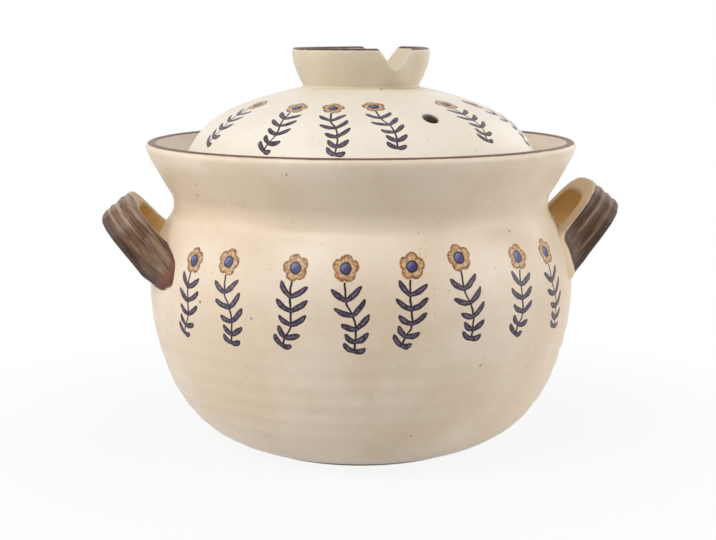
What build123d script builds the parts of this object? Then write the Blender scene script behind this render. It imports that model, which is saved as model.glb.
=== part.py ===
import os
from math import cos, radians, sin

from build123d import *

# A lidded stoneware casserole of the donabe kind: a thrown pot with two pulled strap handles,
# and a thrown domed lid with a hollow ring for a knob. Millimetres, +Z up.
# The origin is the middle of the foot, the handles lie on the X axis, and the front faces -Y.

# Pot, outside: foot, belly, neck and rim
foot_radius = 56.5
foot_round = 1.2
foot_rise_share = 0.25
belly_radius = 106.8
belly_height = 80.0
neck_radius = 94.2
neck_depth = 30.8
rim_radius = 107.5
rim_height = 153.6
rim_lean_share = 0.30

# Points between those stations: share of the step in radius, share of the step in height
bowl_shares = [(0.92, 0.647)]
shoulder_shares = [(0.49, 0.682), (0.755, 0.818)]
flare_shares = [(0.26, 0.314), (0.61, 0.607)]

# Pot, wall, floor and turned foot
pot_wall = 6.5
rim_wall = 6.0
lip_round = 2.6
floor_thickness = 7.5
floor_radius = 46.0
foot_ring_width = 7.5
foot_recess = 1.6

# Where along the outside the wall's depth is set off inwards
bowl_inset_shares = [0.35, 0.68]
shoulder_inset_shares = [0.25, 0.50, 0.75]

# Gallery: the ledge inside the rim that the lid sits on
gallery_depth = 14.1
gallery_wall = 8.6
gallery_margin = 0.7
gallery_lip = 5.0
gallery_round = 1.2
lid_clearance = 2.0

# Lid
lid_rise = 42.7
lid_wall = 6.0
lid_seat_width = 5.8
lid_edge_band = 1.6
lid_edge_round = 0.8
lid_edge_lean_share = 0.65
dome_shares = [(0.601, 0.785), (0.841, 0.518)]
dome_inset_shares = [0.50, 0.75]

# Steam hole through the dome, straight down, on the front right
steam_hole_radius = 3.4
steam_hole_reach = 67.3
steam_hole_bearing = -66.0

# Knob: the flared ring on the dome
knob_height = 17.2
knob_base_radius = 29.0
knob_top_radius = 34.4
knob_wall = 4.6
knob_lip_round = 2.0
knob_lute = 1.2
knob_flare_shares = [(0.70, 0.50)]
knob_base_lean_share = 0.50
knob_top_lean_share = 0.05

# Channel across the knob, cut through both walls beside the middle
channel_offset = 13.6
channel_turn = 2.0
channel_mouth_width = 16.0
channel_waist_width = 9.4
channel_floor_width = 5.6
channel_depth = 9.6
channel_waist_share = 0.60
channel_mouth_lean_share = 0.50
channel_floor_rise_share = 0.35

# Handles: a strap with finger grooves along its outer face, bent to a loop that leans outwards
strap_width = 18.2
strap_thickness = 9.8
strap_edge_round = 2.2
strap_crown = 0.5
groove_count = 3
groove_depth = 0.9
loop_tilt = 50.0
loop_root_inset = 10.8
loop_root_rise = 12.0
loop_root_depth = 15.0
loop_length = 43.0
loop_root_half_width = 34.5
loop_arch_half_width = 28.5
loop_corner_radius = 20.0
loop_unevenness = 2.7

# One overrun for every cut that passes through a face
cut_overrun = 4.0

# Halvings in the search for a point on an outline
search_steps = 40

# Directions of an outline: up, down and outwards
rising = (0, 1)
falling = (0, -1)
level = (1, 0)


def between(low, high, shares):
    """Points on the way from one outline station to the next."""
    step = (high[0] - low[0], high[1] - low[1])
    return [(low[0] + across * step[0], low[1] + up * step[1]) for across, up in shares]


def inset(outline, shares, depth):
    """Points set off from an outline to its left by the wall's depth."""
    points = []
    for share in shares:
        run = outline % share
        points.append(outline @ share + Vector(-run.Y, run.X) * depth)
    return points


def point_where(outline, measure, target):
    """The point of an outline at which a measure that grows along it reaches its target."""
    low, high = 0, 1
    for _ in range(search_steps):
        middle = (low + high) / 2
        if measure(outline @ middle) < target:
            low = middle
        else:
            high = middle
    return outline @ high


def spin(*edges):
    """Solid of revolution about Z, from the closed outline of its right half."""
    return revolve(Plane.XZ * make_face(Curve() + list(edges)), Axis.Z)


def pot_outside():
    """Outside of the pot in three runs: bowl to the belly, shoulder to the neck, flare to the lip."""
    foot = (foot_radius + foot_round, foot_round)
    belly = (belly_radius, belly_height)
    neck = (neck_radius, rim_height - neck_depth)
    lip = (rim_radius, rim_height - lip_round)
    foot_direction = (1, foot_rise_share)
    lip_direction = (rim_lean_share, 1)
    bowl = Spline(foot, *between(foot, belly, bowl_shares), belly, tangents=[foot_direction, rising])
    shoulder = Spline(belly, *between(belly, neck, shoulder_shares), neck, tangents=[rising, rising])
    flare = Spline(neck, *between(neck, lip, flare_shares), lip, tangents=[rising, lip_direction])
    return bowl, shoulder, flare


# The lid and its seat follow from the pot's outside at the height of the gallery
gallery_height = rim_height - gallery_depth
gallery_outside = point_where(pot_outside()[2], lambda point: point.Y, gallery_height)
seat_radius = gallery_outside.X - gallery_wall
throat_radius = seat_radius - lid_clearance - lid_seat_width - gallery_margin
lid_radius = seat_radius - lid_clearance
lid_crown_height = gallery_height + lid_rise
knob_top_height = lid_crown_height + knob_height


def pot_lip():
    """Rounded top of the rim, from the outside over to the inside."""
    outer = (rim_radius, rim_height - lip_round)
    inner = (rim_radius - rim_wall, rim_height - lip_round)
    return ThreePointArc(outer, (rim_radius - rim_wall / 2, rim_height), inner)


def pot_envelope():
    """The pot's outside as a full solid, which trims whatever is luted to it."""
    bowl, shoulder, flare = pot_outside()
    lip = pot_lip()
    top = Polyline(lip @ 1, (0, rim_height - lip_round), (0, 0), (foot_radius, 0))
    return spin(bowl, shoulder, flare, lip, top, Line((foot_radius, 0), bowl @ 0))


def pot_inside():
    """Inside of the pot from the floor up: bowl, shoulder, and the corbel that carries the gallery."""
    bowl, shoulder, _ = pot_outside()
    floor = (floor_radius, floor_thickness)
    belly = (belly_radius - pot_wall, belly_height)
    neck = (neck_radius - pot_wall, rim_height - neck_depth)
    throat = (throat_radius, gallery_height - gallery_lip)
    return (
        Spline(floor, *inset(bowl, bowl_inset_shares, pot_wall), belly, tangents=[level, rising]),
        Spline(belly, *inset(shoulder, shoulder_inset_shares, pot_wall), neck, tangents=[rising, rising]),
        Spline(neck, throat, tangents=[rising, rising]),
    )


def make_pot_body():
    bowl, shoulder, flare = pot_outside()
    lip = pot_lip()
    inner_bowl, inner_shoulder, corbel = pot_inside()
    seat = Polyline(
        lip @ 1,
        (seat_radius, gallery_height + gallery_round),
        (seat_radius - gallery_round, gallery_height),
        (throat_radius + gallery_round, gallery_height),
        (throat_radius, gallery_height - gallery_round),
        corbel @ 1,
    )
    ring_inner = foot_radius - foot_ring_width
    foot = Polyline(
        inner_bowl @ 0,
        (0, floor_thickness),
        (0, foot_recess),
        (ring_inner - foot_recess, foot_recess),
        (ring_inner, 0),
        (foot_radius, 0),
        bowl @ 0,
    )
    return spin(bowl, shoulder, flare, lip, seat, corbel, inner_shoulder, inner_bowl, foot)


def dome_outside():
    """Outside of the lid, from its crown down to the band round its edge."""
    crown = (0, lid_crown_height)
    edge = (lid_radius, gallery_height + lid_edge_band)
    points = between((0, gallery_height), (lid_radius, lid_crown_height), dome_shares)
    return Spline(crown, *points, edge, tangents=[level, (lid_edge_lean_share, -1)])


def dome_envelope():
    """The lid's outside as a full solid, which trims the knob to the dome."""
    dome = dome_outside()
    seat = Polyline(dome @ 1, (lid_radius, gallery_height), (0, gallery_height), dome @ 0)
    return spin(dome, seat)


def make_lid_dome():
    dome = dome_outside()
    under_crown = (0, lid_crown_height - lid_wall)
    seat_inner = (lid_radius - lid_seat_width, gallery_height)
    points = inset(dome, dome_inset_shares, -lid_wall)
    underside = Spline(under_crown, *points, seat_inner, tangents=[level, (lid_edge_lean_share, -1)])
    edge = Polyline(
        dome @ 1,
        (lid_radius, gallery_height + lid_edge_round),
        (lid_radius - lid_edge_round, gallery_height),
        seat_inner,
    )
    lid = spin(dome, edge, underside, Line(under_crown, dome @ 0))
    bearing = radians(steam_hole_bearing)
    place = (steam_hole_reach * cos(bearing), steam_hole_reach * sin(bearing), gallery_height)
    standing = (Align.CENTER, Align.CENTER, Align.MIN)
    return lid - Pos(*place) * Cylinder(steam_hole_radius, lid_rise + cut_overrun, align=standing)


def knob_channel():
    """Cutter for the channel: a soft V that runs right across the knob."""
    floor = (channel_floor_width / 2, knob_top_height - channel_depth)
    waist = (channel_waist_width / 2, knob_top_height - channel_waist_share * channel_depth)
    shoulder = (channel_mouth_width / 2, knob_top_height - knob_lip_round / 2)
    mouth = (channel_mouth_width / 2 + cut_overrun, knob_top_height + cut_overrun)
    directions = [(1, channel_floor_rise_share), (channel_mouth_lean_share, 1)]
    right = Spline(floor, waist, shoulder, mouth, tangents=directions)
    left = mirror(right, Plane.YZ)
    outline = make_face(Curve() + [right, Line(right @ 1, left @ 1), left, Line(left @ 0, right @ 0)])
    cutter = extrude(Plane.XZ * outline, amount=knob_top_radius + cut_overrun, both=True)
    return Pos(channel_offset, 0, 0) * Rot(0, 0, channel_turn) * cutter


def make_lid_knob():
    toe_radius = knob_base_radius + knob_lute
    toe_height = point_where(dome_outside(), lambda point: point.X, toe_radius).Y
    waist = (knob_base_radius, toe_height + knob_lute)
    lip = (knob_top_radius, knob_top_height - knob_lip_round)
    inner_lip = (knob_top_radius - knob_wall, knob_top_height - knob_lip_round)
    inner_waist = (knob_base_radius - knob_wall, toe_height + knob_lute)
    sunk_height = lid_crown_height - lid_wall
    lute = Spline((toe_radius, toe_height), waist, tangents=[(-1, knob_base_lean_share), rising])
    flare = Spline(
        waist, *between(waist, lip, knob_flare_shares), lip,
        tangents=[(knob_base_lean_share, 1), (knob_top_lean_share, 1)],
    )
    rim = ThreePointArc(lip, (knob_top_radius - knob_wall / 2, knob_top_height), inner_lip)
    bore = Spline(inner_lip, inner_waist, tangents=[falling, falling])
    sunk_inner = (knob_base_radius - knob_wall, sunk_height)
    foot = Polyline(inner_waist, sunk_inner, (toe_radius, sunk_height), lute @ 0)
    return spin(lute, flare, rim, bore, foot) - dome_envelope() - knob_channel()


def strap_section():
    """Section of the pulled strap: finger grooves on the outer face, a slight crown on the inner one."""
    half = strap_width / 2
    face = strap_thickness / 2
    flat = half - strap_edge_round
    side = face - strap_edge_round
    pitch = 2 * flat / groove_count
    edges = [
        RadiusArc((-half, -side), (-flat, -face), strap_edge_round),
        RadiusArc((flat, -face), (half, -side), strap_edge_round),
        Line((half, -side), (half, side)),
        RadiusArc((half, side), (flat, face), strap_edge_round),
        ThreePointArc((flat, face), (0, face + strap_crown), (-flat, face)),
        RadiusArc((-flat, face), (-half, side), strap_edge_round),
        Line((-half, side), (-half, -side)),
    ]
    for groove in range(groove_count):
        start = -flat + groove * pitch
        hollow = (start + pitch / 2, groove_depth - face)
        edges.append(ThreePointArc((start, -face), hollow, (start + pitch, -face)))
    return make_face(Curve() + edges)


def make_handle(side):
    """A strap bent to a loop, leaning outwards, with both roots trimmed to the pot. Side is -1 or 1."""
    tilt = radians(loop_tilt)
    outwards = Vector(side * cos(tilt), 0, sin(tilt))
    along = Vector(0, side, 0)
    reach = belly_radius - loop_root_inset
    height = belly_height + loop_root_rise + side * loop_unevenness
    loop_plane = Plane(origin=(side * reach, 0, height), x_dir=along, z_dir=along.cross(outwards))
    root_half = loop_root_half_width - strap_thickness / 2
    arch_half = loop_arch_half_width - strap_thickness / 2
    arch = loop_length - strap_thickness / 2
    splay = (root_half - arch_half) * loop_root_depth / arch
    path = loop_plane * FilletPolyline(
        (-root_half - splay, -loop_root_depth),
        (-arch_half, arch),
        (arch_half, arch),
        (root_half + splay, -loop_root_depth),
        radius=loop_corner_radius - strap_thickness / 2,
    )
    section_plane = Plane(origin=path @ 0, x_dir=loop_plane.z_dir, z_dir=path % 0)
    strap = sweep(section_plane * strap_section(), path=path)
    return strap - pot_envelope()


parts = {
    "pot_body": make_pot_body(),
    "left_handle": make_handle(-1),
    "right_handle": make_handle(1),
    "lid_dome": make_lid_dome(),
    "lid_knob": make_lid_knob(),
}

os.makedirs("parts", exist_ok=True)
for name, solid in parts.items():
    solid.label = name
    export_step(solid, f"parts/{name}.step")
    print(name, round(solid.volume), "cubic millimetres")
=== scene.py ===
import math

import bpy
import numpy as np
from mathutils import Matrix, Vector


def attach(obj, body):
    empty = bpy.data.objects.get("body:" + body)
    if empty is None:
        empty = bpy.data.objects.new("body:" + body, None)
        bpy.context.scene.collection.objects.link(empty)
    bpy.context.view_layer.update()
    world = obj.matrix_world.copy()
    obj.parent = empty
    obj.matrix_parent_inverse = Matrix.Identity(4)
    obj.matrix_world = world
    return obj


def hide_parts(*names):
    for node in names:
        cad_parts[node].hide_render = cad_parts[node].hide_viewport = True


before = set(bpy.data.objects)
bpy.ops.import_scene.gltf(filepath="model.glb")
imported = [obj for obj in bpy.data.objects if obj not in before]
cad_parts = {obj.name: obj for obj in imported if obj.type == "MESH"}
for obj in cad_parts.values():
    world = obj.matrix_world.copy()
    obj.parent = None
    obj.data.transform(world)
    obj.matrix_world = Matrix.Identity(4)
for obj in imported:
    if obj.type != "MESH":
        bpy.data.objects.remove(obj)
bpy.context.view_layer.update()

# The pot. A stoneware casserole thrown on the wheel in one piece: foot, belly, neck and flared rim,
# with a gallery inside the rim for the lid. The glaze is a satin cream over a clay with iron in it,
# so it carries specks, and the potter's fingers left faint rings in the lower half.
MM = 0.001

# Chains of Bezier runs in radius and height, in mm: a station, two handles, a station, and so on
pot_outside = [
    (107.5, 151.0), (106.11, 146.35), (104.23, 143.38), (102.31, 139.92),
    (100.83, 137.24), (99.31, 134.26), (97.66, 131.65),
    (96.0, 129.04), (94.2, 126.8), (94.2, 122.8),
    (94.2, 118.67), (95.79, 117.13), (97.29, 115.01),
    (98.49, 113.32), (99.62, 111.25), (100.63, 109.19),
    (105.08, 100.03), (106.8, 90.93), (106.8, 80.0),
    (106.8, 69.95), (105.22, 61.1), (102.87, 52.18),
    (97.18, 30.56), (86.96, 8.52), (57.7, 1.2),
]
pot_inside = [
    (0.0, 7.5), (15.0, 7.5), (30.0, 7.5), (46.0, 7.5),
    (63.15, 7.5), (74.31, 12.66), (82.29, 23.19),
    (88.37, 31.22), (92.61, 42.36), (95.59, 50.23),
    (98.57, 58.1), (100.3, 62.68), (100.3, 80.0),
    (100.3, 90.0), (98.6, 101.2), (93.16, 109.4),
    (90.74, 113.05), (87.7, 115.04), (87.7, 122.8),
    (87.7, 127.61), (84.98, 129.69), (84.98, 134.5),
]
pot_gallery = [(84.98, 134.5), (84.98, 139.5), (93.2, 139.5), (101.7, 151.2)]
pot_lip = [(101.7, 151.2), (102.6, 154.4), (106.7, 154.4), (107.5, 151.0)]
pot_foot = [(57.7, 1.2), (56.6, 0.0), (49.0, 0.0), (47.4, 1.6), (0.0, 1.6)]
pot_segments = 240
pot_spacing = 1.6
lip_spacing = 0.7
gallery_round = 1.6
foot_round = 1.2
ring_pitch = 9.5
ring_depth = 0.13
rim_waver = 0.22


def trace(poles, spacing):
    """Points along a chain of Bezier runs, about one spacing apart."""
    poles = np.array(poles, float)
    points = []
    for start in range(0, len(poles) - 1, 3):
        a, b, c, d = poles[start:start + 4]
        count = max(2, round(np.linalg.norm(np.diff(poles[start:start + 4], axis=0), axis=1).sum() / spacing))
        t = np.linspace(0, 1, count, endpoint=False)[:, None]
        points.append(a * (1 - t) ** 3 + 3 * b * t * (1 - t) ** 2 + 3 * c * t ** 2 * (1 - t) + d * t ** 3)
    return np.vstack(points + [poles[-1:]])


def soften(corners, radius, spacing):
    """Points along straight runs whose inner corners are rounded off."""
    corners = [np.array(corner, float) for corner in corners]
    points = [corners[0]]
    for before, corner, after in zip(corners, corners[1:], corners[2:]):
        back, on = before - corner, after - corner
        reach = min(radius, np.linalg.norm(back) / 2, np.linalg.norm(on) / 2)
        start = corner + back / np.linalg.norm(back) * reach
        end = corner + on / np.linalg.norm(on) * reach
        for t in np.linspace(0, 1, 5):
            points.append(start * (1 - t) ** 2 + 2 * corner * t * (1 - t) + end * t ** 2)
    points.append(corners[-1])
    dense = [points[0]]
    for low, high in zip(points, points[1:]):
        count = max(1, round(np.linalg.norm(high - low) / spacing))
        dense += [low + (high - low) * step / count for step in range(1, count + 1)]
    return np.array(dense)


def travelled(outline):
    """Distance run along an outline up to each of its points."""
    return np.concatenate([[0], np.cumsum(np.linalg.norm(np.diff(outline, axis=0), axis=1))])


def outline_normals(outline):
    """Unit normals of an outline in the plane of radius and height, to its left."""
    run = np.gradient(outline, axis=0)
    run /= np.maximum(np.linalg.norm(run, axis=1), 1e-9)[:, None]
    return np.stack([-run[:, 1], run[:, 0]], axis=1)


def make_mesh(name, points, faces):
    """An object with smooth faces from points in mm."""
    mesh = bpy.data.meshes.new(name)
    mesh.from_pydata([tuple(point * MM) for point in points], [], faces)
    mesh.polygons.foreach_set("use_smooth", [True] * len(mesh.polygons))
    mesh.update()
    piece = bpy.data.objects.new(name, mesh)
    bpy.context.scene.collection.objects.link(piece)
    return piece


def turned_points(outline, segments, shape=None):
    """Points of an outline turned about Z, as rings; shape moves radius and height, given the turn."""
    turn = np.arange(segments) * 2 * math.pi / segments
    radius = np.repeat(outline[:, :1], segments, axis=1)
    height = np.repeat(outline[:, 1:], segments, axis=1)
    if shape:
        radius, height = shape(radius, height, turn[None, :])
    return np.stack([radius * np.cos(turn), radius * np.sin(turn), height], axis=2)


def ring_faces(rings, segments, first=0):
    """Quads between neighbouring rings of points."""
    faces = []
    for ring in range(rings - 1):
        for step in range(segments):
            low = first + ring * segments + step
            next_low = first + ring * segments + (step + 1) % segments
            faces.append((low, low + segments, next_low + segments, next_low))
    return faces


def pole_faces(pole, first, segments, closing):
    """Triangles from a point on the axis to the ring beside it."""
    faces = []
    for step in range(segments):
        here, there = first + step, first + (step + 1) % segments
        faces.append((pole, there, here) if closing else (pole, here, there))
    return faces


def turned(name, outline, segments, shape=None):
    """A solid of revolution whose outline starts and ends on the axis."""
    rings = turned_points(outline[1:-1], segments, shape)
    count = len(rings)
    points = np.vstack([rings.reshape(-1, 3), [[0, 0, outline[0][1]]], [[0, 0, outline[-1][1]]]])
    faces = ring_faces(count, segments)
    faces += pole_faces(count * segments, 0, segments, False)
    faces += pole_faces(count * segments + 1, (count - 1) * segments, segments, True)
    return make_mesh(name, points, faces)


outside = trace(pot_outside, pot_spacing)
inside = trace(pot_inside, 2 * pot_spacing)
pot_outline = np.vstack([
    inside,
    soften(pot_gallery, gallery_round, pot_spacing)[1:],
    trace(pot_lip, lip_spacing)[1:],
    outside[1:],
    soften(pot_foot, foot_round, 2 * pot_spacing)[1:],
])
pot_travel = travelled(pot_outline)[:, None]
pot_normals = outline_normals(pot_outline)


def finger_rings(radius, height, turn):
    """The potter's rings: a shallow spiral outside, deepest in the lower half, and a rim not quite true."""
    rows = slice(1, -1)
    phase = 2 * math.pi * pot_travel[rows] / ring_pitch
    outer = (radius > 58) & (height > 2) & (pot_travel[rows] > travelled(inside)[-1] + 25)
    low_half = np.clip((82 - height) / 30, 0, 1) * np.clip((height - 4) / 12, 0, 1)
    spiral = np.sin(phase + turn + 0.6 * np.sin(2 * turn + 1.3))
    slow = 0.5 * np.sin(phase / 2.7 - 2 * turn)
    push = outer * ring_depth * (low_half * (spiral + slow) + 0.25 * slow)
    true = rim_waver * np.sin(2 * turn + 0.7) * np.clip((height - 110) / 45, 0, 1) * (radius > 80)
    normals = pot_normals[rows]
    return radius + push * normals[:, :1] + true, height + push * normals[:, 1:]


pot = turned("pot_glazed_body", pot_outline, pot_segments, finger_rings)


class Wire:
    """One socket of a material's node tree. Arithmetic on it adds Math nodes."""

    def __init__(self, tree, socket=None):
        self.tree = tree
        self.socket = socket

    def node(self, kind, settings=None, inputs=None, out=0):
        """Adds a node: its settings are set first, then its sockets get values or links."""
        node = self.tree.nodes.new("ShaderNode" + kind)
        for name, value in (settings or {}).items():
            if name == "stops":
                set_stops(node.color_ramp, value)
            elif name == "bends":
                set_bends(node.mapping, value)
            else:
                setattr(node, name, value)
        for name, value in (inputs or {}).items():
            if isinstance(value, Wire):
                self.tree.links.new(value.socket, node.inputs[name])
            else:
                node.inputs[name].default_value = value
        return Wire(self.tree, node.outputs[out] if node.outputs else None)

    def other(self, out):
        """Another output of the node that this socket belongs to."""
        return Wire(self.tree, self.socket.node.outputs[out])

    def math(self, operation, *values):
        return self.node("Math", {"operation": operation}, dict(enumerate(values)))

    def __add__(self, other):
        return self.math("ADD", self, other)

    def __sub__(self, other):
        return self.math("SUBTRACT", self, other)

    def __mul__(self, other):
        return self.math("MULTIPLY", self, other)

    def __truediv__(self, other):
        return self.math("DIVIDE", self, other)

    def __pow__(self, other):
        return self.math("POWER", self, other)

    def __gt__(self, other):
        return self.math("GREATER_THAN", self, other)

    def __lt__(self, other):
        return self.math("LESS_THAN", self, other)

    def __abs__(self):
        return self.math("ABSOLUTE", self)

    def __rsub__(self, other):
        return self.math("SUBTRACT", other, self)

    __radd__ = __add__
    __rmul__ = __mul__

    def at_least(self, other):
        return self.math("MAXIMUM", self, other)

    def at_most(self, other):
        return self.math("MINIMUM", self, other)

    def clamped(self):
        return self.at_least(0).at_most(1)

    def sine(self):
        return self.math("SINE", self)

    def cosine(self):
        return self.math("COSINE", self)

    def step(self, low, high):
        """0 below low, 1 above high and a soft step between them."""
        sockets = {"Value": self, "From Min": low, "From Max": high}
        return self.node("MapRange", {"interpolation_type": "SMOOTHSTEP"}, sockets)

    def mix(self, low, high):
        """A colour between two, by this mask."""
        settings = {"data_type": "RGBA", "clamp_factor": True}
        return self.node("Mix", settings, {"Factor": self, 6: low, 7: high}, out=2)

    def xyz(self):
        """The three parts of a vector."""
        parts = self.node("SeparateXYZ", {}, {"Vector": self})
        return parts, parts.other(1), parts.other(2)


def set_stops(ramp, stops):
    """Gives a colour ramp its stops, each a place and a colour, held level up to the next."""
    ramp.interpolation = "CONSTANT"
    while len(ramp.elements) < len(stops):
        ramp.elements.new(1.0)
    for element, (place, colour) in zip(ramp.elements, sorted(stops)):
        element.position = place
        element.color = colour


def set_bends(mapping, bends):
    """Gives a curve node its points and lets it run on level past its ends."""
    curve = mapping.curves[0]
    mapping.use_clip = False
    mapping.extend = "HORIZONTAL"
    while len(curve.points) < len(bends):
        curve.points.new(0.5, 0.5)
    for point, (place, value) in zip(curve.points, bends):
        point.location = (place, value)
    mapping.update()


def paint(red, green, blue):
    """A colour as seen on a screen, 0 to 255, turned into the linear one that the shader takes."""
    linear = [channel / 255 / 12.92 if channel < 10.3 else ((channel / 255 + 0.055) / 1.055) ** 2.4
              for channel in (red, green, blue)]
    return (*linear, 1.0)


def new_finish(name):
    """A material with a bare tree. Returns it with a wire to build on."""
    material = bpy.data.materials.new(name)
    material.use_nodes = True
    material.node_tree.nodes.clear()
    return material, Wire(material.node_tree)


def fired(wire, colour, roughness, height, depth, coat):
    """Ends a tree: the fired surface with its colour, roughness and fine relief."""
    bump = wire.node("Bump", {}, {"Height": height, "Distance": depth, "Strength": 1.0})
    sockets = {"Base Color": colour, "Roughness": roughness, "Normal": bump, "IOR": 1.5, "Coat Weight": coat,
               "Coat Roughness": 0.22, "Specular IOR Level": 0.28}
    shader = wire.node("BsdfPrincipled", {}, sockets)
    wire.node("OutputMaterial", {}, {"Surface": shader})


def in_mm(wire):
    """Place on the piece in mm: x, y, z and the vector itself."""
    place = wire.node("TexCoord", {}, {}, out="Object")
    scaled = wire.node("VectorMath", {"operation": "SCALE"}, {0: place, "Scale": 1 / MM})
    return (*scaled.xyz(), scaled)


# The painted sprigs. Under the glaze runs a border as folk potters paint it with a fine brush: a flower of
# five petals, a stem and five pairs of leaves, outlined and then filled. Two kinds of it take turns: one
# curls left at its foot, the other swings out to the right.

# Each pair of leaves: its joint right of and below the flower, then the left and right tips from there, in mm
curling_leaves = [
    ((-1.6, 12.4), (-4.9, -6.9), (8.1, -4.6)), ((-1.2, 18.8), (-7.1, -5.2), (7.7, -5.0)),
    ((-1.0, 25.2), (-6.1, -4.2), (6.9, -4.8)), ((-3.9, 30.7), (-3.1, -5.0), (6.9, -1.2)),
    ((-5.3, 34.9), (-3.9, -5.3), (4.4, -0.3)),
]
swinging_leaves = [
    ((0.3, 13.6), (-6.6, -4.9), (6.8, -6.5)), ((3.2, 20.1), (-8.4, -2.8), (5.7, -7.1)),
    ((4.6, 26.3), (-6.5, -2.1), (6.0, -6.6)), ((4.4, 32.3), (-4.7, -3.8), (6.0, -4.1)),
    ((3.8, 36.5), (-4.6, -3.8), (5.2, -1.3)),
]
leaf_half_width = 2.0
leaf_joint_share = 0.5
leaf_widening = 0.95
leaf_sag = 0.6
line_width = 0.70
stem_half_width = 0.52
stem_under_petals = 0.4
stem_past_leaves = 0.6
petal_count = 5
petal_turn = 0.22
flower_radius = 6.0
flower_notch = 1.15
petal_line = 1.1
eye_radius = 2.75
ink_colour = paint(22, 16, 28)
leaf_dark = paint(52, 40, 60)
leaf_pale = paint(104, 88, 110)
ochre_dark = paint(112, 74, 38)
ochre_pale = paint(176, 130, 78)
petal_dark = paint(164, 124, 84)
petal_pale = paint(210, 176, 138)
eye_dark = paint(62, 58, 104)
# The eye's own dark blue, and the lighter colour of the highlight painted on its upper left
eye_glint_colour = paint(132, 134, 176)


def brushed(depth, softness=0.15):
    """A brush mark: 1 inside its edge, 0 outside, a little soft because the glaze has run over it."""
    return (depth / (2 * softness) + 0.5).clamped()


def stem_at(down, leaves):
    """How far right of the flower the stem stands, this far below it."""
    bends = [(0.0, 0.0)] + [(joint[1] / 40, joint[0] / 10) for joint, left, right in leaves]
    return down.node("FloatCurve", {"bends": bends}, {"Value": down / 40}) * 10


def leaf_pair(across, down, kind, curling, swinging):
    """Depth inside the nearer leaf of a pair: above 0 within its outline."""

    def by_hand(low, high):
        return kind * (high - low) + low

    def by_side(left, right):
        return left + on_right * (right - left)

    off = across - by_hand(curling[0][0], swinging[0][0])
    drop = down - by_hand(curling[0][1], swinging[0][1])
    on_right = off > 0
    curling_lengths = [math.hypot(*tip) for tip in curling[1:]]
    swinging_lengths = [math.hypot(*tip) for tip in swinging[1:]]
    span = by_side(*[by_hand(curling_lengths[side], swinging_lengths[side]) for side in (0, 1)])

    def heading(side, part):
        low = curling[side + 1][part] / curling_lengths[side]
        return by_hand(low, swinging[side + 1][part] / swinging_lengths[side])

    run = [by_side(heading(0, part), heading(1, part)) for part in (0, 1)]
    along = off * run[0] + drop * run[1]
    below = abs(run[0]) * drop - run[1] * abs(off)
    share = (along / span).clamped()
    crown = share * (1 - share) * 4
    girth = (1 - share) ** 0.5 * (share * leaf_widening + leaf_joint_share) * leaf_half_width
    return girth - abs(below - crown * leaf_sag) - abs(along - share * span) * 0.8


def sprig_marks(wire, place, across, down, kind, turn, where):
    """The sprig's brush marks as masks, each with its colour, in the order they are painted."""
    leaf = None
    for curling, swinging in zip(curling_leaves, swinging_leaves):
        pair = leaf_pair(across, down, kind, curling, swinging)
        leaf = pair if leaf is None else leaf.at_least(pair)
    curl, swing = stem_at(down, curling_leaves), stem_at(down, swinging_leaves)
    stem = stem_half_width - abs(across - curl - kind * (swing - curl))
    stem = stem.at_most(down - flower_radius + stem_under_petals)
    foot = curling_leaves[-1][0][1], swinging_leaves[-1][0][1]
    stem = stem.at_most(kind * (foot[1] - foot[0]) + foot[0] + stem_past_leaves - down)
    radius = (across * across + down * down) ** 0.5
    angle = wire.math("ARCTAN2", down, across)
    notch = 1 - abs(((angle + turn * petal_turn + math.pi / 2) * (petal_count / 2)).cosine())
    petal = flower_radius - notch ** 1.5 * flower_notch - radius
    eye = eye_radius - radius
    strokes = wire.node("TexNoise", {}, {"Vector": place, "Scale": 0.75, "Detail": 2.0})
    loaded = strokes.step(0.38, 0.62)
    # Painted highlight: the eye's fill is lighter at its upper left and darker at its lower right
    glint = (across + down + 1.6).step(-2.0, 2.2)
    marks = [
        (brushed(stem), ink_colour),
        (brushed(leaf), ink_colour),
        (brushed(leaf - line_width, 0.2), loaded.mix(leaf_dark, leaf_pale)),
        (brushed(petal), loaded.mix(ochre_dark, ochre_pale)),
        (brushed(petal - petal_line, 0.3), loaded.mix(petal_dark, petal_pale)),
        (brushed(eye), ink_colour),
        (brushed(eye - line_width, 0.3), glint.mix(eye_glint_colour, eye_dark)),
    ]
    return [(mask * where, colour) for mask, colour in marks]


def over(colour, marks):
    """Lays brush marks over a colour."""
    for mask, mark in marks:
        colour = mask.mix(colour, mark)
    return colour


def raised(relief, marks):
    """The glaze's relief in mm with the marks in it: the leaves' outline sunk, the fills a little proud."""
    return relief - marks[1][0] * 0.06 + marks[2][0] * 0.05 + marks[4][0] * 0.03


def laid_out(wire, bearing, sprigs, spread):
    """For a bearing about the axis, the middle, height and kind of the sprig whose field it lies in."""
    stops = []
    for middle, height, kind in sprigs:
        start = middle - (spread[1] if kind else spread[0])
        stops.append((start / 360 + 0.5, (middle / 360 + 0.5, height / 255, kind, 1.0)))
    share = bearing / (2 * math.pi) + 0.5
    ramp = wire.node("ValToRGB", {"stops": stops}, {"Fac": share})
    parts = wire.node("SeparateColor", {}, {"Color": ramp})
    middle = (parts - 0.5) * (2 * math.pi)
    return middle, parts.other(1) * 255, parts.other(2)


def wavering(wire, place, size, amount):
    """A slow sideways drift, as a hand has: two wires in mm."""
    noise = wire.node("TexNoise", {}, {"Vector": place, "Scale": 1 / size, "Detail": 1.0}, out="Color")
    shift = noise.xyz()
    return (shift[0] - 0.5) * amount, (shift[1] - 0.5) * amount


def specks(wire, place, cell, share, radius):
    """Iron specks: one dot in some of the cells, of uneven size."""
    dots = wire.node("TexVoronoi", {}, {"Vector": place, "Scale": 1 / cell})
    luck = wire.node("SeparateColor", {}, {"Color": dots.other("Color")})
    size = ((luck - (1 - share)) / share).at_least(0) * radius
    return brushed(size - dots * cell, 0.16) * (luck > 1 - share)


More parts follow.
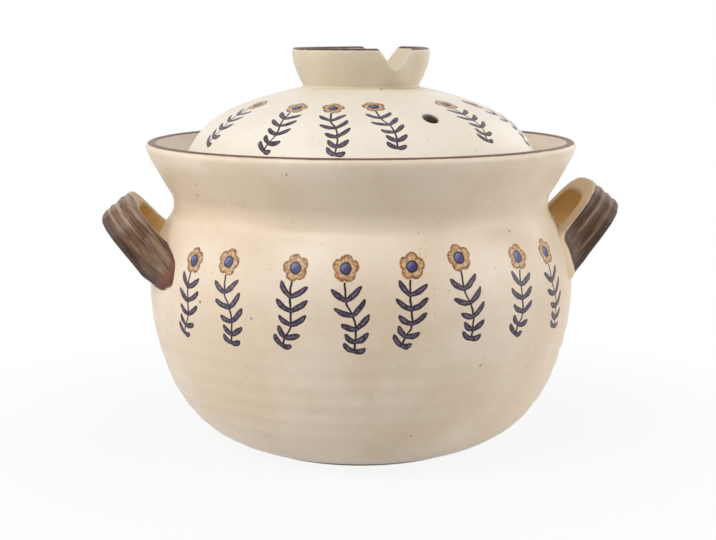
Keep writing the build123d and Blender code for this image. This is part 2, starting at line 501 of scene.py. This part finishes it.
def cream_glaze(wire, place, pale, warm, speck_colour, speck_strength):
    """The glaze's own colour, clouded and specked, and its relief in mm."""
    cloud = wire.node("TexNoise", {}, {"Vector": place, "Scale": 0.02, "Detail": 4.0, "Roughness": 0.55})
    grain = wire.node("TexNoise", {}, {"Vector": place, "Scale": 0.55, "Detail": 3.0})
    blend = (cloud.step(0.35, 0.65) * 0.75 + (grain - 0.5) * 0.5).clamped()
    colour = blend.mix(pale, warm)
    large = specks(wire, place, cell=8.0, share=0.34, radius=0.78)
    small = specks(wire, place, cell=3.1, share=0.30, radius=0.42)
    spotted = (large * speck_strength).at_least(small * speck_strength * 0.55)
    colour = spotted.mix(colour, speck_colour)
    relief = (grain - 0.5) * 0.05 - large * 0.05
    return colour, relief, grain


# The pot's finish. Cream glaze all over but for the foot ring, which is wiped bare to stand in the
# kiln; a brown iron line brushed round the lip; and the border of sprigs below the neck.
pot_pale = paint(232, 216, 198)
pot_warm = paint(218, 197, 171)
# The colour of the painted shade round the neck
pot_shaded_neck = paint(204, 179, 147)
iron_line = paint(96, 60, 38)
speck_brown = paint(120, 92, 66)
bare_clay = paint(196, 166, 132)
lip_line_height = 152.8
foot_line_height = 2.6
glaze_coat = 0.06
# Painted shade darkens the neck under the flared rim: heights where it starts, is full, ends being so and is
# gone
neck_shade = (117.0, 121.0, 139.0, 151.0)
neck_shade_share = 0.2
# The border is painted outside this radius, which narrows above a height, so the inner wall stays plain
border_radius = 103.4
border_narrows_at = 88.0
border_narrowing = 0.304
# How far left of its middle a curling and a swinging sprig's own field starts, in degrees
sprig_fields = (7.3, 6.2)
# Each sprig: its place round the pot in degrees, the height of its flower in mm and its kind
front_sprigs = [(-142.9, 102.8, 0), (-130.3, 104.4, 1), (-110.9, 104.2, 0), (-98.2, 104.5, 1),
                (-81.7, 105.2, 0), (-68.7, 107.6, 1), (-49.6, 105.1, 0), (-36.1, 104.6, 1)]
back_sprigs = [(36.8, 104.4, 0), (49.4, 105.0, 1), (68.9, 104.2, 0), (81.9, 105.4, 1),
               (98.4, 104.0, 0), (111.6, 104.8, 1), (130.8, 105.2, 0), (143.6, 104.2, 1)]

pot_finish, wire = new_finish("cream_glaze_with_sprigs")
x, y, z, place = in_mm(wire)
colour, relief, grain = cream_glaze(wire, place, pot_pale, pot_warm, speck_brown, 0.75)
# The neck is painted darker as shade, where the flared rim faces down away from the light
neck_painted_shade = z.step(*neck_shade[:2]) * (1 - z.step(*neck_shade[2:]))
colour = (neck_painted_shade * neck_shade_share).mix(colour, pot_shaded_neck)
bearing = wire.math("ARCTAN2", y, x)
middle, flower_height, kind = laid_out(wire, bearing, front_sprigs + back_sprigs, sprig_fields)
drift_across, drift_down = wavering(wire, place, 4.0, 1.1)
radius = (x * x + y * y) ** 0.5
across = (bearing - middle) * radius + drift_across
down = flower_height - z + drift_down
outer = radius > border_radius - (z - border_narrows_at).at_least(0) * border_narrowing
marks = sprig_marks(wire, place, across, down, kind, (middle * 9).sine(), outer)
colour = over(colour, marks)
lip_line = brushed(z - lip_line_height + drift_down * 0.25, 0.2)
colour = lip_line.mix(colour, iron_line)
bare = brushed(foot_line_height - z + drift_down * 0.5, 0.2)
colour = bare.mix(colour, bare_clay)
relief = raised(relief, marks)
roughness = (grain - 0.5) * 0.12 + 0.40 + bare * 0.4
fired(wire, colour, roughness, relief * MM, 1.0, glaze_coat)
pot.data.materials.append(pot_finish)
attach(pot, "pot")
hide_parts("pot_body")

# The lid. A dome thrown upside down on the wheel, with a flat seat under its edge and one steam hole
# poked through the wet clay, whose edge the glaze has rounded. Its glaze fired whiter than the pot's.
lid_top = [
    (0.0, 182.2), (20.35, 182.2), (37.09, 179.2), (54.98, 173.02),
    (62.92, 170.28), (71.09, 166.91), (76.94, 161.62),
    (82.88, 156.24), (86.42, 148.89), (91.48, 141.1),
]
lid_edge = [(91.48, 141.1), (91.48, 139.5), (85.68, 139.5), (82.18, 145.04)]
lid_under = [
    (82.18, 145.04), (79.11, 149.91), (76.15, 154.39), (72.11, 157.86),
    (66.26, 162.9), (58.17, 165.84), (50.32, 168.26),
    (33.76, 173.37), (18.27, 176.2), (0.0, 176.2),
]
lid_segments = 240
lid_edge_round = 0.8
steam_hole_radius = 3.4
steam_hole_reach = 67.3
steam_hole_bearing = -66.0
# The hole's rounded edge: its radius at each depth under the lid's surface
steam_hole_edge = [(4.3, 0.02), (3.9, 0.14), (3.6, 0.38), (3.42, 0.8), (3.4, 1.6)]
# The patch round the hole: half its width, the circle that it shrinks to and the loops to there
patch_reach = 6.6
patch_circle = 4.5
patch_steps = 4

lid_top_outline = trace(lid_top, pot_spacing)
lid_under_outline = trace(lid_under, pot_spacing)
lid_edge_outline = soften(lid_edge, lid_edge_round, pot_spacing)
lid_outline = np.vstack([lid_top_outline, lid_edge_outline[1:], lid_under_outline[1:]])
hole_middle = steam_hole_reach * np.array([math.cos(math.radians(steam_hole_bearing)),
                                           math.sin(math.radians(steam_hole_bearing))])


def patch_rows(first, last):
    """Rings, counted from the first inside the axis point, that a patch round the hole spans."""
    reach = lid_outline[1:-1, 0]
    rows = [row for row in range(first, last) if abs(reach[row] - steam_hole_reach) < patch_reach]
    return sorted(rows, key=lambda row: reach[row])


def patch_rim(rows, columns):
    """The points round a patch, as rows and columns, starting along its inner ring."""
    rim = [(rows[0], column) for column in columns]
    rim += [(row, columns[-1]) for row in rows[1:]]
    rim += [(rows[-1], column) for column in reversed(columns[:-1])]
    rim += [(row, columns[0]) for row in reversed(rows[1:-1])]
    return rim


def pierced_lid(name):
    """The lid turned about Z, with a patch let in above and below, and the hole's wall between them."""
    rings = turned_points(lid_outline[1:-1], lid_segments)
    count = len(rings)
    points = rings.reshape(-1, 3).tolist() + [[0, 0, lid_outline[0][1]], [0, 0, lid_outline[-1][1]]]
    top_count = len(lid_top_outline)
    top_rows = patch_rows(0, top_count)
    under_rows = patch_rows(count - len(lid_under_outline), count)[:len(top_rows)]
    top_rows = top_rows[:len(under_rows)]
    column = round(steam_hole_bearing % 360 / 360 * lid_segments)
    half = round(patch_reach / (2 * math.pi * steam_hole_reach / lid_segments))
    columns = list(range(column - half, column + half + 1))
    holes = set()
    for rows in (top_rows, under_rows):
        for row in range(min(rows), max(rows)):
            holes |= {row * lid_segments + step for step in columns[:-1]}
    quads = ring_faces(count, lid_segments)
    faces = [quad for number, quad in enumerate(quads) if number not in holes]
    faces += pole_faces(count * lid_segments, 0, lid_segments, False)
    faces += pole_faces(count * lid_segments + 1, (count - 1) * lid_segments, lid_segments, True)
    top_height = (lid_top_outline[:, 0], lid_top_outline[:, 1])
    under_height = (lid_under_outline[::-1, 0], lid_under_outline[::-1, 1])

    def loop(rim, share, radius, surface, sink):
        """A loop between the patch's rim and a circle of this radius, sunk below the surface."""
        start = len(points)
        for row, step in rim:
            edge = np.array(points[row * lid_segments + step][:2]) - hole_middle
            spot = hole_middle + edge * (1 - share) + edge / np.linalg.norm(edge) * radius * share
            height = np.interp(np.linalg.norm(spot), *surface) - sink
            points.append([spot[0], spot[1], height])
        return list(range(start, len(points)))

    top_rim = patch_rim(top_rows, columns)
    under_rim = patch_rim(under_rows, columns)
    loops = [[row * lid_segments + step for row, step in top_rim]]
    for step in range(1, patch_steps):
        loops.append(loop(top_rim, step / patch_steps, patch_circle, top_height, 0.0))
    for radius, sink in steam_hole_edge:
        loops.append(loop(top_rim, 1.0, radius, top_height, sink))
    for radius, sink in reversed(steam_hole_edge):
        loops.append(loop(under_rim, 1.0, radius, under_height, -sink))
    for step in range(patch_steps - 1, 0, -1):
        loops.append(loop(under_rim, step / patch_steps, patch_circle, under_height, 0.0))
    loops.append([row * lid_segments + step for row, step in under_rim])
    for outer, inner in zip(loops, loops[1:]):
        for here in range(len(outer)):
            there = (here + 1) % len(outer)
            faces.append((outer[here], inner[here], inner[there], outer[there]))
    used = sorted({corner for face in faces for corner in face})
    number = {old: new for new, old in enumerate(used)}
    faces = [tuple(number[corner] for corner in face) for face in faces]
    return make_mesh(name, np.array(points)[used], faces)


lid = pierced_lid("lid_glazed_dome")
lid_pale = paint(240, 232, 219)
lid_warm = paint(233, 222, 205)
# The colour of the painted shade inside the steam hole
hole_painted_shade = paint(52, 38, 26)
# Each sprig on the lid: its place round the lid in degrees, the reach of its flower in mm and its kind
lid_sprigs = [(-155.5, 57.0, 0), (-126.0, 57.5, 0), (-107.6, 57.0, 1), (-88.3, 55.0, 1),
              (-47.0, 55.0, 0), (-22.5, 57.5, 1), (4.0, 57.0, 0), (28.0, 56.5, 1), (52.0, 57.0, 0),
              (76.0, 56.0, 1), (101.0, 57.0, 0), (126.0, 56.5, 1), (151.0, 56.0, 0)]
lid_sprig_fields = (11.5, 9.5)
lid_sprig_size = 0.92
lid_sprig_lean = 0.12
# The way down the dome for each mm of reach past the flower, and what its curve adds with the cube of that
dome_slope = 1.04
dome_curve = 0.00028
# The border is painted above this height at the middle, which sinks by so much towards the edge
lid_paint_height = 172.5
lid_paint_drop = 26.0
hole_shade_reach = 0.45

lid_finish, wire = new_finish("pale_glaze_with_sprigs")
x, y, z, place = in_mm(wire)
colour, relief, grain = cream_glaze(wire, place, lid_pale, lid_warm, speck_brown, 0.7)
bearing = wire.math("ARCTAN2", y, x)
middle, flower_reach, kind = laid_out(wire, bearing, lid_sprigs, lid_sprig_fields)
drift_across, drift_down = wavering(wire, place, 4.0, 1.0)
radius = (x * x + y * y) ** 0.5
out = radius - flower_reach
down = (out * dome_slope + out * out * out * dome_curve) / lid_sprig_size + drift_down
across = (bearing - middle) * radius / lid_sprig_size - down * lid_sprig_lean + drift_across
above = z + radius.step(40.0, 90.0) * lid_paint_drop > lid_paint_height
marks = sprig_marks(wire, place, across, down, kind, (middle * 7).sine(), above)
colour = over(colour, marks)
relief = raised(relief, marks)
hole_across, hole_out = x - hole_middle[0], y - hole_middle[1]
hole_reach = (hole_across * hole_across + hole_out * hole_out) ** 0.5
# Painted shade: the steam hole's wall and the glaze round its mouth are darkened as the hole's shadow
colour = brushed(steam_hole_radius + hole_shade_reach - hole_reach, 0.5).mix(colour, hole_painted_shade)
roughness = (grain - 0.5) * 0.12 + 0.38
fired(wire, colour, roughness, relief * MM, 1.0, glaze_coat)
lid.data.materials.append(lid_finish)
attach(lid, "lid")
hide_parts("lid_dome")

# The knob. A flared ring thrown on top of the lid and luted to it with slip, hollow so that the lid
# can stand on it turned over. A channel pressed across it while soft holds a ladle's handle.
knob_outside = [
    (34.4, 197.4), (34.25, 194.43), (33.69, 191.67), (32.78, 189.04),
    (31.8, 186.21), (30.43, 183.54), (29.0, 180.9),
    (28.8, 180.0), (30.6, 179.9), (31.6, 178.4),
]
knob_lip = [(29.8, 197.4), (30.1, 200.05), (34.2, 200.05), (34.4, 197.4)]
knob_inside = [
    (22.9, 180.4), (24.6, 181.2), (25.0, 185.0), (26.5, 187.6),
    (28.4, 190.6), (29.8, 193.4), (29.8, 197.4),
]
# The ring's foot, sunk into the dome
knob_foot_inside = (22.6, 177.6)
knob_foot_outside = (31.4, 177.6)
knob_base_height = 181.0
knob_top_height = 199.4
knob_segments = 288
knob_spacing = 0.9
knob_lip_spacing = 0.5
knob_waver = 0.25
channel_offset = 13.6
channel_turn = 2.0
channel_depth = 9.5
channel_floor = 0.5
channel_mouth = 9.9


def channelled(radius, height, turn):
    """Presses the channel into the ring: the wall keeps its rounded lip and sinks under it."""
    lean = math.radians(channel_turn)
    aside = radius * np.cos(turn - lean) - channel_offset
    share = np.clip((np.abs(aside) - channel_floor) / (channel_mouth - channel_floor), 0, 1)
    press = channel_depth * (1 - share * share * (3 - 2 * share))
    rise = np.clip((height - knob_base_height) / (knob_top_height - knob_base_height), 0, None)
    wave = knob_waver * np.sin(2 * turn + 0.4) * np.clip(rise, 0, 1)
    return radius + wave, height - press * rise + 0.5 * wave


def turned_ring(name, outline, segments, shape):
    """A closed ring turned about Z."""
    rings = turned_points(outline, segments, shape)
    points = rings.reshape(-1, 3)
    faces = ring_faces(len(rings), segments)
    last = (len(rings) - 1) * segments
    for step in range(segments):
        there = (step + 1) % segments
        faces.append((last + step, step, there, last + there))
    return make_mesh(name, points, faces)


knob_outline = np.vstack([
    [knob_foot_inside],
    trace(knob_inside, knob_spacing),
    trace(knob_lip, knob_lip_spacing)[1:],
    trace(knob_outside, knob_spacing)[1:],
    [knob_foot_outside],
])
knob = turned_ring("lid_ring_knob", knob_outline, knob_segments, channelled)
knob_pale = paint(216, 203, 183)
knob_warm = paint(202, 187, 161)
knob_line_height = 198.45
knob_line = paint(66, 43, 31)

knob_finish, wire = new_finish("cream_glaze_with_line")
x, y, z, place = in_mm(wire)
colour, relief, grain = cream_glaze(wire, place, knob_pale, knob_warm, speck_brown, 0.7)
drift_across, drift_down = wavering(wire, place, 3.0, 1.2)
top_line = brushed(z - knob_line_height + drift_down * 0.4, 0.2)
colour = top_line.mix(colour, knob_line)
roughness = (grain - 0.5) * 0.12 + 0.38
fired(wire, colour, roughness, relief * MM, 1.0, glaze_coat)
knob.data.materials.append(knob_finish)
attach(knob, "lid")
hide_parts("lid_knob")

# The handles. Each is a strap pulled from a lump of clay by wet fingers, which leave ridges along its
# outer face, bent to a loop and luted to the shoulder. Brown iron glaze is brushed on the outer face
# and its lower edge; the upper edge and the inside keep the cream, the inside in a darker ochre that is
# partly the clay's tone and partly painted shade in the loop.
strap_half_width = 9.1
strap_half_thickness = 4.9
strap_round = 2.4
strap_crown = 0.5
# Each ridge: its place across the strap, its half width and its height over the grooves
ridge_places = [(-8.0, 1.9, 0.75), (-2.6, 1.5, 0.85), (3.0, 1.5, 0.8), (7.9, 2.0, 0.7)]
groove_depth = 0.85
# The ridges fade to a level face between these distances from the pot, and stay on the outer face
root_ridge = 0.45
ridge_fade = (1.0, 13.0)
ridge_edge_depth = 1.2
ridge_edge_softness = 0.35
loop_tilt = 50.0
loop_reach = 96.0
loop_height = 92.0
loop_unevenness = 2.7
root_half = 29.6
arch_half = 23.6
arch_height = 38.1
root_depth = 15.0
arch_corner = 15.5
root_sink = 2.6
root_flare = 2.3
root_flare_reach = 3.4
# Left and right: how far the roots are spread along the pot, their lower edges pressed down, and the
# bare clay left at them; the spread tapers to its lower corner
root_spread = (15.0, 4.5)
root_toe = (5.5, 2.0)
root_bare = (-1.5, 1.4)
root_taper = 0.85
# Distances from the pot where the spread and the pressing down start and are full
spread_fade = (11.0, -7.0)
toe_fade = (8.0, -3.0)
# The brushed glaze: its edges across the strap, on its outer face and round its corners
glaze_upper_edge = 7.7
glaze_lower_edge = 7.0
glaze_face_edge = 3.3
glaze_corner = 3
glaze_root_reach = 6
# Left and right: how much further the brown goes over the upper edge at the front, and round it
glaze_reach = (3.1, 0.0)
glaze_wrap = (5.1, 0.0)
front_fade = (-2.0, 12.0)
strap_rows = 120
route_spacing = 0.25
route_smoothing = 12


def strap_outline():
    """Points round the strap's section: across its width, and from the outer face at -y to the inner one."""
    width, thick = strap_half_width, strap_half_thickness
    corners = [(0, thick + strap_crown), (-width, thick), (-width, -thick), (0, -thick),
               (width, -thick), (width, thick), (0, thick + strap_crown)]
    return soften(corners, strap_round, 0.5)[:-1]


def strap_ridges(across, along, seed):
    """Height of the finger ridges over the groove floor, wandering a little along the strap."""
    height = np.zeros_like(across)
    for number, (place, half, size) in enumerate(ridge_places):
        wander = 0.45 * np.sin(along / 17 + seed + 2.1 * number)
        wander = wander + 0.2 * np.sin(along / 6.3 + 3 * seed + number)
        swell = size * (1 + 0.22 * np.sin(along / 11 + 1.7 * seed + number))
        height = np.maximum(height, swell * np.exp(-((across - place - wander) / half) ** 2))
    return height


def eased(value, low, high):
    """0 at low, 1 at high and a soft step between them, whichever is the larger."""
    share = np.clip((value - low) / (high - low), 0, 1)
    return share * share * (3 - 2 * share)


def glaze_edge(across, depth, clear, front, side):
    """How far a place lies inside the brushed glaze, which leaves a band of clay at the upper edge."""
    near_root = np.exp(-np.clip(clear, 0, None) / glaze_root_reach)
    upper = across + glaze_upper_edge + glaze_reach[side > 0] * front - 0.5 * near_root
    wrap = glaze_wrap[side > 0] * front * (1 - 0.3 * near_root)
    face = np.minimum(wrap - glaze_face_edge - depth, upper)
    from_edge = glaze_corner - np.maximum(face, across - glaze_lower_edge)
    from_end = glaze_corner - (clear - root_bare[side > 0])
    round_off = np.hypot(np.clip(from_edge, 0, None), np.clip(from_end, 0, None))
    return glaze_corner - np.maximum(round_off, np.maximum(from_edge, from_end))


def make_strap(name, side):
    """The strap swept along its loop, each line of it running from seat to seat in the pot's wall."""
    section = strap_outline()
    splay = (root_half - arch_half) * root_depth / arch_height
    route = soften([(-root_half - splay, -root_depth), (-arch_half, arch_height),
                    (arch_half, arch_height), (root_half + splay, -root_depth)], arch_corner, route_spacing)
    travel = travelled(route)
    tilt = math.radians(loop_tilt)
    outwards = np.array([side * math.cos(tilt), 0, math.sin(tilt)])
    along_pot = np.array([0, side, 0])
    through = np.cross(along_pot, outwards)
    origin = np.array([side * loop_reach, 0, loop_height + side * loop_unevenness])
    run = np.gradient(route, travel, axis=0)
    run = np.pad(run, ((route_smoothing, route_smoothing), (0, 0)), mode="edge")
    evenly = np.ones(2 * route_smoothing + 1) / (2 * route_smoothing + 1)
    run = np.stack([np.convolve(run[:, part], evenly, "valid") for part in (0, 1)], axis=1)
    run /= np.linalg.norm(run, axis=1)[:, None]
    inwards = run[:, 1:] * along_pot - run[:, :1] * outwards
    spine = origin + route[:, :1] * along_pot + route[:, 1:] * outwards
    leg = np.sign(route[:, :1]) * along_pot
    pot_height, pot_radius = outside[::-1, 1], outside[::-1, 0]

    def clearance(points):
        return np.hypot(points[:, 0], points[:, 1]) - np.interp(points[:, 2], pot_height, pot_radius)

    columns = []
    for across, depth in section:
        ridge = strap_ridges(np.full_like(travel, across), travel, 1.0 + side)
        facing = 1 / (1 + math.exp((depth + strap_half_thickness - ridge_edge_depth) / ridge_edge_softness))
        apart = eased(clearance(spine + across * through + depth * inwards), *ridge_fade)
        lifted = depth + facing * (groove_depth - ridge * apart - root_ridge * (1 - apart))
        points = spine + across * through + lifted[:, None] * inwards
        near = clearance(points)[:, None]
        outer_share = 0.5 - 0.5 * depth / strap_half_thickness
        lowness = 0.5 + 0.5 * across / strap_half_width
        taper = root_taper * (1 - max(0.0, 1 - lowness ** 4) ** 0.5)
        spread = root_spread[side > 0] * outer_share * (1 - taper)
        toe = root_toe[side > 0] * eased(across, -strap_half_width, strap_half_width) * (2.0 - outer_share)
        points = points + eased(near, *spread_fade) * spread * leg - eased(near, *toe_fade) * toe * through
        clear = clearance(points)
        free = np.nonzero(clear > -root_sink)[0]
        wanted = np.linspace(travel[free[0]], travel[free[-1]], strap_rows)
        swell = root_flare * np.exp(-np.clip(clear, 0, None) / root_flare_reach)
        away = np.array([across / strap_half_width, depth / strap_half_thickness])
        away /= np.linalg.norm(away)
        points = points + swell[:, None] * (away[0] * through + away[1] * inwards)
        edge = glaze_edge(across, depth, clear, eased(-points[:, 1], *front_fade), side)
        placed = [np.interp(wanted, travel, line) for line in (*points.T, edge, clear, ridge * apart)]
        placed += [wanted, np.full(strap_rows, across), np.full(strap_rows, depth)]
        columns.append(np.stack(placed, axis=1))
    around = len(section)
    rows = np.swapaxes(np.array(columns), 0, 1)
    ends = rows[[0, -1]].mean(axis=1)
    flat = np.vstack([rows.reshape(-1, rows.shape[2]), ends])
    faces = []
    for row in range(strap_rows - 1):
        for step in range(around):
            low, next_low = row * around + step, row * around + (step + 1) % around
            faces.append((low, next_low, next_low + around, low + around))
    last = (strap_rows - 1) * around
    for step in range(around):
        there = (step + 1) % around
        faces.append((strap_rows * around, there, step))
        faces.append((strap_rows * around + 1, last + step, last + there))
    piece = make_mesh(name, flat[:, :3], faces)
    for attribute, parts in (("strap_place", [7, 6, 8]), ("strap_glaze", [3, 4, 5])):
        values = piece.data.attributes.new(attribute, "FLOAT_VECTOR", "POINT")
        values.data.foreach_set("vector", flat[:, parts].ravel())
    return piece


strap_brown = paint(102, 70, 45)
# Dark brown of pooled glaze, also used for painted shade in the grooves and towards the lower edge
strap_dark_and_shade = paint(46, 28, 18)
# Light brown of glaze thin over the ridges, brightened as a painted highlight
strap_thin_glaze_and_sheen = paint(206, 184, 160)
strap_rust = paint(104, 50, 26)
# Dark brown of the glaze's brushed edge, also used for the painted shade on the lower edge
strap_line_and_shade = paint(54, 30, 20)
strap_cream = paint(226, 202, 170)
strap_ochre_and_shade = paint(202, 162, 100)
streak_stretch = 0.06
rim_line_width = 1.4
root_line_width = 1.3

strap_finish, wire = new_finish("iron_brown_glaze_on_strap")
x, y, z, place = in_mm(wire)
across, along, depth = wire.node("Attribute", {"attribute_name": "strap_place"}, {}, out="Vector").xyz()
edge, clear, crest = wire.node("Attribute", {"attribute_name": "strap_glaze"}, {}, out="Vector").xyz()
drift_across, drift_down = wavering(wire, place, 5.0, 1.4)
streak_place = wire.node("CombineXYZ", {}, {"X": across, "Y": along * streak_stretch, "Z": depth})
streaks = wire.node("TexNoise", {}, {"Vector": streak_place, "Scale": 1.1, "Detail": 5.0, "Roughness": 0.7})
cloud = wire.node("TexNoise", {}, {"Vector": place, "Scale": 0.08, "Detail": 3.0})
on_left = x < 0
on_crest = crest.step(0.3, 0.9)
# Ridge tops lighter: partly the glaze breaking thin over them, partly a painted highlight, stronger on the
# left handle where the key light falls
ridges_thin_and_lit = crest.step(0.35, 1.05) * (streaks.step(0.34, 0.66) * 0.8 + 0.2) * (on_left * 0.5 + 0.5)
ridges_thin_and_lit = ridges_thin_and_lit + cloud.step(0.4, 0.7) * 0.12 + (streaks - 0.5) * 0.7
brown = ridges_thin_and_lit.clamped().mix(strap_brown, strap_thin_glaze_and_sheen)
# Darker streaks away from the ridge tops: partly glaze pooled in the grooves, partly painted shade in them
groove_dark_and_shade = (1 - streaks.step(0.36, 0.52)) * 0.85 * (1 - on_crest * 0.7)
brown = groove_dark_and_shade.mix(brown, strap_dark_and_shade)
# Darker towards the lower edge: partly glaze pooled there, partly painted shade
pooled_and_shaded = across.step(2.5, 7.5) * cloud.step(0.32, 0.6) * (1 - on_crest * 0.5)
brown = (pooled_and_shaded * 0.85).mix(brown, strap_dark_and_shade)
painted = edge + drift_across * 0.35
rim = brushed(rim_line_width - painted, 0.6)
brown = (rim * 0.9).mix(brown, strap_line_and_shade)
at_root = brushed(root_line_width - clear + drift_down * 0.5, 0.6)
brown = (at_root * 0.8).mix(brown, strap_rust)
# Painted shade along the strap's lower edge and corner, which face down away from the light
lower_edge_shade = (across - depth * 0.6).step(8.6, 11.0) * (1 - across.step(8.6, 9.2) * 0.3)
brown = (lower_edge_shade * 0.8).mix(brown, strap_line_and_shade)
# The inner face is a darker ochre: partly the clay's own tone, partly painted shade inside the loop
clay = depth.step(1.0, 5.0).mix(strap_cream, strap_ochre_and_shade)
clay = (specks(wire, place, cell=5.0, share=0.3, radius=0.5) * 0.8).mix(clay, speck_brown)
glazed = brushed(painted, 0.2)
colour = glazed.mix(clay, brown)
relief = (streaks - 0.5) * glazed * 0.5 + (cloud - 0.5) * 0.1 + glazed * 0.06
roughness = 0.5 - glazed * 0.08 + (streaks - 0.5) * 0.2
fired(wire, colour, roughness, relief * MM, 1.0, 0.0)
for side, name in ((-1, "left_handle"), (1, "right_handle")):
    strap = make_strap(name + "_strap", side)
    strap.data.materials.append(strap_finish)
    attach(strap, "pot")
    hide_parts(name)

# The studio. A pale sweep under soft light from the upper left, as for a catalogue, and a camera
# three quarters of a metre away, a little above the rim.
floor_half = 1.6
floor_steps = 8
floor_fade = (0.10, 0.30)
floor_white = 0.90
floor_colour = paint(218, 218, 216)
camera_distance = 0.740
camera_bearing = -94.5
camera_height = 0.2122
aim_height = 0.0866
aim_aside = 0.0015
lens_mm = 73.7
soft_lights = [
    # name, place, size, power in watts, colour
    ("window", (-0.62, -0.68, 0.95), 0.60, 8.5, (1.0, 0.99, 0.975)),
    ("left_side", (-1.15, -0.25, 0.35), 0.80, 6.0, (1.0, 0.99, 0.98)),
    ("right_side", (1.15, -0.35, 0.35), 0.80, 9.0, (1.0, 0.985, 0.965)),
    ("behind", (0.95, 0.70, 0.55), 0.80, 2.2, (1.0, 1.0, 1.0)),
    ("overhead", (0.10, -0.15, 1.25), 1.0, 3.2, (1.0, 1.0, 1.0)),
]
# What the world lights the pot with; seen or mirrored, it is plain white
sky_strength = 0.06

floor_mesh = bpy.data.meshes.new("pale_floor")
steps = np.linspace(-floor_half, floor_half, floor_steps + 1)
corners = [(x, y, 0.0) for y in steps for x in steps]
tiles = []
for row in range(floor_steps):
    for column in range(floor_steps):
        corner = row * (floor_steps + 1) + column
        tiles.append((corner, corner + 1, corner + floor_steps + 2, corner + floor_steps + 1))
floor_mesh.from_pydata(corners, [], tiles)
floor = bpy.data.objects.new("pale_floor", floor_mesh)
bpy.context.scene.collection.objects.link(floor)
floor_finish, wire = new_finish("pale_floor_paper")
x, y, z, place = in_mm(wire)
reach = (x * x + y * y) ** 0.5 * MM
seen = wire.node("LightPath")
seen = seen.other("Is Glossy Ray").at_least(seen)
grain = wire.node("TexNoise", {}, {"Vector": place, "Scale": 0.4, "Detail": 3.0})
paper = wire.node("BsdfDiffuse", {}, {"Color": floor_colour})
glow = wire.node("Emission", {}, {"Color": (1.0, 1.0, 1.0, 1.0), "Strength": 1.0})
fade = seen * (reach.step(*floor_fade) * (1 - floor_white) + floor_white + (grain - 0.5) * 0.004)
surface = wire.node("MixShader", {}, {"Fac": fade, 1: paper, 2: glow})
wire.node("OutputMaterial", {}, {"Surface": surface})
floor_mesh.materials.append(floor_finish)

world = bpy.data.worlds.new("studio")
bpy.context.scene.world = world
world.use_nodes = True
world.node_tree.nodes.clear()
wire = Wire(world.node_tree)
seen = wire.node("LightPath")
seen = seen.other("Is Glossy Ray").at_least(seen)
strength = seen * (1 - sky_strength) + sky_strength
sky = wire.node("Background", {}, {"Color": (1.0, 1.0, 1.0, 1.0), "Strength": strength})
wire.node("OutputWorld", {}, {"Surface": sky})

aim = Vector((0.0, 0.0, aim_height))
for name, spot, size, power, colour in soft_lights:
    lamp = bpy.data.lights.new(name, "AREA")
    lamp.size = size
    lamp.energy = power
    lamp.color = colour
    lamp_object = bpy.data.objects.new(name, lamp)
    lamp_object.location = spot
    lamp_object.rotation_euler = (aim - Vector(spot)).to_track_quat("-Z", "Y").to_euler()
    bpy.context.scene.collection.objects.link(lamp_object)

camera = bpy.data.cameras.new("photo_view")
camera.lens = lens_mm
camera_object = bpy.data.objects.new("photo_view", camera)
bearing = math.radians(camera_bearing)
towards = Vector((math.cos(bearing), math.sin(bearing), 0.0))
camera_object.location = towards * camera_distance + Vector((0.0, 0.0, camera_height))
beside = Vector((-math.sin(bearing), math.cos(bearing), 0.0)) * -aim_aside
camera_object.rotation_euler = (aim + beside - camera_object.location).to_track_quat("-Z", "Y").to_euler()
bpy.context.scene.collection.objects.link(camera_object)
bpy.context.scene.camera = camera_object
bpy.context.scene.view_settings.view_transform = "Standard"
